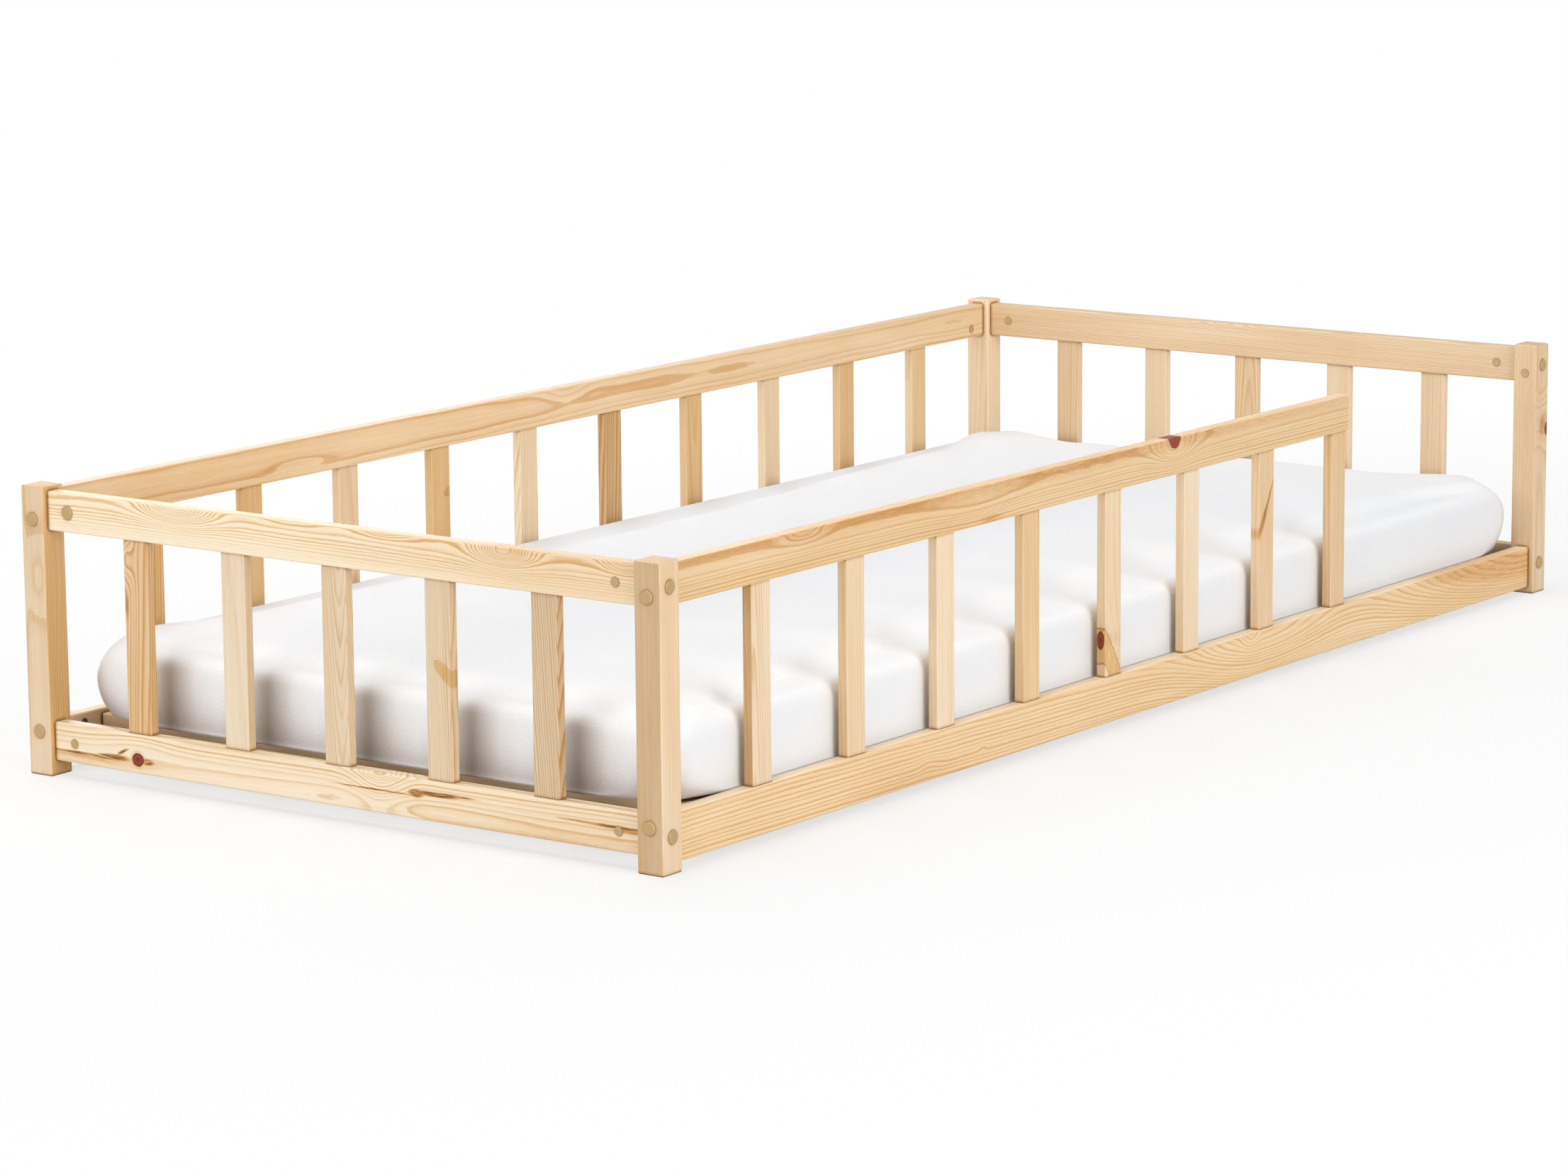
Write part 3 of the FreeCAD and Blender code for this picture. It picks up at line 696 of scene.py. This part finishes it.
def weave(nodes, places, pitches, levels):
    """The rise and fall of threads that cross, from the first level to the second."""
    warp, weft = (nodes.math("SINE", nodes.times(place, 2.0 * math.pi / pitch))
                  for place, pitch in zip(places, pitches))
    return nodes.remap(nodes.math("MULTIPLY", warp, weft), *levels)


def webbing_material():
    material, nodes, shader = new_material("webbing")
    x, y, z = nodes.split(nodes.add("ShaderNodeTexCoord").outputs["Object"])
    threads = weave(nodes, (y, x), webbing_pitch, webbing_levels)
    nodes.put(shader.inputs["Base Color"], nodes.mix(threads, *webbing_colours))
    emboss(nodes, shader, threads, *webbing_bump)
    shader.inputs["Roughness"].default_value = webbing_roughness
    return material


def dress_fittings():
    made = {"cap_plastic": plastic_material(), "zinc_steel": steel_material(), "webbing": webbing_material()}
    for name, slot in slot_of.items():
        if slot in made:
            wear(name, made[slot])


# Bedding, with edge_steps and side_levels in mm
mattress_low, mattress_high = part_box("mattress")
corner_radius = 36.0 * mm
corner_softening = 22.0 * mm
top_round = 19.0 * mm
bottom_round = 2.5 * mm
bottom_tuck_share = 0.42
corner_top_round = 44.0 * mm
corner_bottom_round = 46.0 * mm
corner_reach = 120.0 * mm
edge_steps = (0.0, 3.0, 7.0, 12.0, 19.0, 27.0, 36.0, 48.0, 62.0)
side_levels = (0.0, 1.2, 2.5, 6.0, 14.0, 26.0, 40.0, 54.0, 66.0, 75.0, 82.0, 88.0, 93.0)
cell = 18.0 * mm
puff_room = Vector((0.0, 0.0, 4.0 * mm))
puff_cap = Vector((2.4 * mm, 2.4 * mm, 6.0 * mm))
puff_frames = 20
bottom_lift = 0.7 * mm
sheet_thick = 1.1 * mm
sheet_ease = 0.6 * mm
hem_reach = 120.0 * mm
# Painted shade on the sheet: how far it looks for slats and rails, the share its long sides get, and how dark
# and warm it is painted as they close in
sheet_shade_reach = 72.0 * mm
sheet_shade_side_share = 0.22
sheet_shade_stops = ((0.38, (0.34, 0.26, 0.20)), (0.57, (0.60, 0.52, 0.46)), (0.76, (0.930, 0.920, 0.915)),
              (0.92, (1.0, 1.0, 1.0)))
downward = -0.9
soften_share = 0.4
sheet_colours = (rgb(0.825, 0.835, 0.86), rgb(0.92, 0.928, 0.945))
sheet_knit = 900.0
sheet_slub = (90.0, 90.0, 520.0)
sheet_crease = (130.0, 130.0, 240.0)
sheet_cloud = 9.0
shade_shares = (0.25, 0.45, 0.30)
relief_shares = (0.35, 0.55, 1.5)
sheet_bump = (0.55, 0.9 * mm)
sheet_specular = 0.2
fabric_roughness = 0.9
ticking_colours = (rgb(0.76, 0.73, 0.65), rgb(0.90, 0.87, 0.80))
ticking_pitch = (1.6 * mm, 1.6 * mm)
ticking_levels = (0.3, 0.7)
ticking_cloud = 20.0
ticking_bump = (0.4, 0.4 * mm)


def grid_lines(length):
    """Places along a side: close together at both ends, even cells between."""
    near = [step * mm for step in edge_steps]
    run = length - 2.0 * near[-1]
    cells = max(2, round(run / cell))
    middle = [near[-1] + run * i / cells for i in range(1, cells)]
    return near + middle + [length - step for step in reversed(near)]


def quarter(share):
    """Inset and drop, as shares of the radius, part of the way round a quarter circle from its flat."""
    angle = share * math.pi / 2.0
    return 1.0 - math.sin(angle), 1.0 - math.cos(angle)


def soft_point(place, size, on_top, on_bottom):
    """Where a point of a plain block goes on the mattress's rounded form."""
    x, y, z = place
    from_end = min(x, size.x - x)
    from_side = min(y, size.y - y)
    edge = min(from_end, from_side)
    near = max(0.0, 1.0 - max(from_end, from_side) / corner_reach)
    near = near * near * (3.0 - 2.0 * near)
    if z > size.z / 2.0:
        radius, depth = top_round + (corner_top_round - top_round) * near, size.z - z
        flat = on_top
    else:
        radius, depth = bottom_round + (corner_bottom_round - bottom_round) * near, z
        flat = on_bottom
    if flat:
        share = 0.5 * (1.0 - min(edge / radius, 1.0))
    else:
        share = 0.5 + 0.5 * min(depth / radius, 1.0)
    inset, drop = (value * radius for value in quarter(share))
    soft = corner_radius + corner_softening * inset / radius
    if z <= size.z / 2.0:
        inset = inset * bottom_tuck_share
    middle = Vector((min(max(x, soft), size.x - soft), min(max(y, soft), size.y - soft)))
    out = Vector((x, y)) - middle
    reach = max(abs(out.x), abs(out.y))
    if reach > 0.0:
        way = out.normalized()
        keep = soft - inset if not flat or edge < radius else reach
        out = way * keep
    level = drop if flat or depth < radius else depth
    height = size.z - level if z > size.z / 2.0 else level
    return Vector((middle.x + out.x, middle.y + out.y, height))


def block_mesh(name, low, high):
    """A closed block of even cells, rounded as the mattress is."""
    size = high - low
    levels = [level * mm for level in side_levels] + [size.z]
    lines = [grid_lines(size.x), grid_lines(size.y), levels]
    counts = [len(line) - 1 for line in lines]
    bm = bmesh.new()
    made = {}

    def corner(key):
        if key not in made:
            place = Vector((lines[a][key[a]] for a in range(3)))
            made[key] = bm.verts.new(low + soft_point(place, size, key[2] == counts[2], key[2] == 0))
        return made[key]

    for axis in range(3):
        first, second = (axis + 1) % 3, (axis + 2) % 3
        for end in (0, counts[axis]):
            for a in range(counts[first]):
                for b in range(counts[second]):
                    loop = []
                    for da, db in ((0, 0), (1, 0), (1, 1), (0, 1)):
                        key = [end] * 3
                        key[first] = a + da
                        key[second] = b + db
                        loop.append(corner(tuple(key)))
                    bm.faces.new(loop if end else loop[::-1])
    mesh = bpy.data.meshes.new(name)
    bm.to_mesh(mesh)
    bm.free()
    smooth_faces(mesh)
    return mesh


def smooth_faces(mesh):
    for face in mesh.polygons:
        face.use_smooth = True


def add_piece(name, mesh):
    piece = bpy.data.objects.new(name, mesh)
    scene.collection.objects.link(piece)
    return piece


def puff(piece):
    """Blows the cover up a little against its own stretch, with no point moving further than the cap."""
    start = [v.co.copy() for v in piece.data.vertices]
    floor = min(co.z for co in start)
    held = piece.vertex_groups.new(name="held")
    held.add([i for i, co in enumerate(start) if co.z < floor + mm], 1.0, "REPLACE")
    cloth = piece.modifiers.new("puff", "CLOTH")
    cloth.settings.quality = 5
    cloth.settings.mass = 0.4
    cloth.settings.tension_stiffness = 25.0
    cloth.settings.compression_stiffness = 25.0
    cloth.settings.bending_stiffness = 2.0
    cloth.settings.use_pressure = True
    cloth.settings.uniform_pressure_force = 4.0
    cloth.settings.effector_weights.gravity = 0.0
    cloth.settings.vertex_group_mass = held.name
    cloth.point_cache.frame_start = 1
    cloth.point_cache.frame_end = puff_frames
    for step in range(1, puff_frames + 1):
        scene.frame_set(step)
    shaped = piece.evaluated_get(bpy.context.evaluated_depsgraph_get())
    after = [v.co.copy() for v in shaped.data.vertices]
    piece.modifiers.remove(cloth)
    piece.vertex_groups.remove(held)
    scene.frame_set(1)
    for vertex, old, new in zip(piece.data.vertices, start, after):
        move = [min(max(new[a] - old[a], -puff_cap[a]), puff_cap[a]) for a in range(3)]
        vertex.co = old + Vector(move)


def soften(mesh, rounds):
    bm = bmesh.new()
    bm.from_mesh(mesh)
    for _ in range(rounds):
        bmesh.ops.smooth_vert(bm, verts=bm.verts, factor=soften_share,
                              use_axis_x=True, use_axis_y=True, use_axis_z=True)
    bm.to_mesh(mesh)
    bm.free()


def make_mattress():
    low = mattress_low + Vector((0.0, 0.0, bottom_lift))
    high = mattress_high - puff_room
    piece = add_piece("soft_mattress", block_mesh("soft_mattress", low, high))
    puff(piece)
    soften(piece.data, 1)
    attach(piece, "bedding")
    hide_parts("mattress")
    piece.data.materials.append(ticking_material())
    return piece


def make_sheet(mattress):
    """The sheet is the mattress's own surface, a little outside it and open underneath."""
    bm = bmesh.new()
    bm.from_mesh(mattress.data)
    low = Vector((min(v.co[a] for v in bm.verts) for a in range(3)))
    high = Vector((max(v.co[a] for v in bm.verts) for a in range(3)))

    def inside(co):
        return min(co.x - low.x, high.x - co.x, co.y - low.y, high.y - co.y)

    hidden = [f for f in bm.faces if f.normal.z < downward and inside(f.calc_center_median()) > hem_reach]
    bmesh.ops.delete(bm, geom=hidden, context="FACES")
    bm.normal_update()
    for vertex in bm.verts:
        vertex.co += vertex.normal * sheet_ease
    mesh = bpy.data.meshes.new("soft_sheet")
    bm.to_mesh(mesh)
    bm.free()
    smooth_faces(mesh)
    piece = add_piece("soft_sheet", mesh)
    smooth = piece.modifiers.new("smooth", "SUBSURF")
    smooth.levels = 1
    smooth.render_levels = 1
    cloth = piece.modifiers.new("cloth", "SOLIDIFY")
    cloth.thickness = sheet_thick
    cloth.offset = 1.0
    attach(piece, "bedding")
    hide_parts("fitted_sheet")
    piece.data.materials.append(jersey_material())
    return piece


def jersey_material():
    material, nodes, shader = new_material("sheet_jersey")
    source = nodes.add("ShaderNodeTexCoord")
    place = source.outputs["Object"]
    knit = nodes.noise(place, sheet_knit, 1.0)
    slub = nodes.noise(place, sheet_slub, 2.0, 0.6)
    crease = nodes.noise(place, sheet_crease, 3.0, 0.62)
    cloud = nodes.noise(place, sheet_cloud, 2.0)
    cotton = nodes.mix(nodes.weighed((knit, slub, cloud), shade_shares), *sheet_colours)
    end_on = nodes.math("ABSOLUTE", nodes.split(source.outputs["Normal"])[0])
    # Painted shade: the sheet is painted darker and warmer where slats and rails stand close, fully on its
    # ends and less on its long sides
    dark = nodes.ramp(open_share(nodes, sheet_shade_reach), sheet_shade_stops)
    painted_sheet_shade = nodes.mix(nodes.remap(end_on, sheet_shade_side_share, 1.0), white, dark)
    nodes.put(shader.inputs["Base Color"], nodes.mix(1.0, cotton, painted_sheet_shade, "MULTIPLY"))
    emboss(nodes, shader, nodes.weighed((knit, slub, crease), relief_shares), *sheet_bump)
    shader.inputs["Roughness"].default_value = fabric_roughness
    shader.inputs["Specular IOR Level"].default_value = sheet_specular
    return material


def ticking_material():
    material, nodes, shader = new_material("mattress_ticking")
    place = nodes.add("ShaderNodeTexCoord").outputs["Object"]
    x, y, z = nodes.split(place)
    threads = weave(nodes, (nodes.math("ADD", x, z), nodes.math("ADD", y, z)), ticking_pitch, ticking_levels)
    shade = nodes.times(nodes.math("ADD", threads, nodes.noise(place, ticking_cloud, 2.0)), 0.5)
    nodes.put(shader.inputs["Base Color"], nodes.mix(shade, *ticking_colours))
    emboss(nodes, shader, threads, *ticking_bump)
    shader.inputs["Roughness"].default_value = fabric_roughness
    return material


# Stage and light: the floor is pale with its shadows near the bed, and turns plain white further out
ambient = 0.40
ambient_colour = rgb(0.98, 0.99, 1.0)
floor_size = 60.0
floor_lighting = rgb(0.60, 0.60, 0.60)
floor_seen = rgb(0.92, 0.92, 0.92)
plain_squash = (0.6, 1.0, 0.0)
plain_from = 0.7
plain_to = 1.7
plain_least_share = 0.66


def seen_share(nodes):
    """1 for a ray that shows what it meets, straight or by reflection, and 0 for one that only lights."""
    path = nodes.add("ShaderNodeLightPath").outputs
    return nodes.math("MAXIMUM", path["Is Camera Ray"],
                      nodes.math("MAXIMUM", path["Is Glossy Ray"], path["Is Transmission Ray"]))


def add_world():
    world = bpy.data.worlds.new("studio")
    scene.world = world
    world.use_nodes = True
    world.node_tree.nodes.clear()
    nodes = Nodes(world.node_tree)
    glow = nodes.add("ShaderNodeBackground", {"Color": white, "Strength": 1.0})
    soft = nodes.add("ShaderNodeBackground", {"Color": ambient_colour, "Strength": ambient})
    both = nodes.add("ShaderNodeMixShader", {0: seen_share(nodes), 1: soft.outputs[0], 2: glow.outputs[0]})
    nodes.add("ShaderNodeOutputWorld", {"Surface": both.outputs[0]})


def floor_material():
    material, nodes, shader = new_material("floor")
    shader.inputs["Roughness"].default_value = 1.0
    shader.inputs["Specular IOR Level"].default_value = 0.0
    place = nodes.add("ShaderNodeTexCoord").outputs["Object"]
    reach = nodes.measure("LENGTH", nodes.vector("MULTIPLY", place, plain_squash))
    span = {"Value": reach, "From Min": plain_from, "From Max": plain_to,
            "To Min": plain_least_share, "To Max": 1.0}
    far = nodes.add("ShaderNodeMapRange", span, interpolation_type="SMOOTHSTEP").outputs[0]
    seen = seen_share(nodes)
    nodes.put(shader.inputs["Base Color"], nodes.mix(seen, floor_lighting, floor_seen))
    glow = nodes.add("ShaderNodeEmission", {"Color": white, "Strength": 1.0})
    plain = nodes.times(seen, far)
    both = nodes.add("ShaderNodeMixShader", {0: plain, 1: shader.outputs[0], 2: glow.outputs[0]})
    nodes.put(material.node_tree.nodes["Material Output"].inputs["Surface"], both.outputs[0])
    return material


def add_floor():
    bm = bmesh.new()
    bmesh.ops.create_grid(bm, x_segments=1, y_segments=1, size=floor_size / 2.0)
    mesh = bpy.data.meshes.new("floor")
    bm.to_mesh(mesh)
    bm.free()
    mesh.materials.append(floor_material())
    add_piece("floor", mesh)


def softbox(name, place, aim, size, level):
    """Level is the light on a surface that faces the lamp at its aim, where 1 shows a colour as written."""
    way = Vector(aim) - Vector(place)
    lamp = bpy.data.lights.new(name, "AREA")
    lamp.shape = "RECTANGLE"
    lamp.size, lamp.size_y = size
    lamp.energy = level * math.pi ** 2 * way.length_squared
    holder = bpy.data.objects.new(name, lamp)
    holder.location = place
    holder.rotation_euler = way.to_track_quat("-Z", "Y").to_euler()
    holder.visible_camera = False
    scene.collection.objects.link(holder)


def add_light():
    softbox("overhead", (-0.6, 1.2, 5.0), (0.0, 0.0, 0.15), (4.4, 3.2), 0.565)
    softbox("front", (-2.4, -8.2, 1.9), (0.0, -0.45, 0.15), (5.4, 3.0), 0.58)
    softbox("left", (-9.0, 0.6, 1.35), (-1.0, 0.0, 0.15), (7.0, 2.0), 0.47)
    softbox("back", (5.0, 7.5, 2.0), (0.0, 0.3, 0.15), (5.4, 3.0), 0.30)


slot_of = {part["node"]: part["material_slot"] for part in frame["record"]["subparts"]}
scene.view_settings.view_transform = "Standard"
add_camera()
add_world()
add_floor()
add_light()
dress_timber()
dress_fittings()
soft_mattress = make_mattress()
soft_sheet = make_sheet(soft_mattress)

bpy.context.view_layer.update()
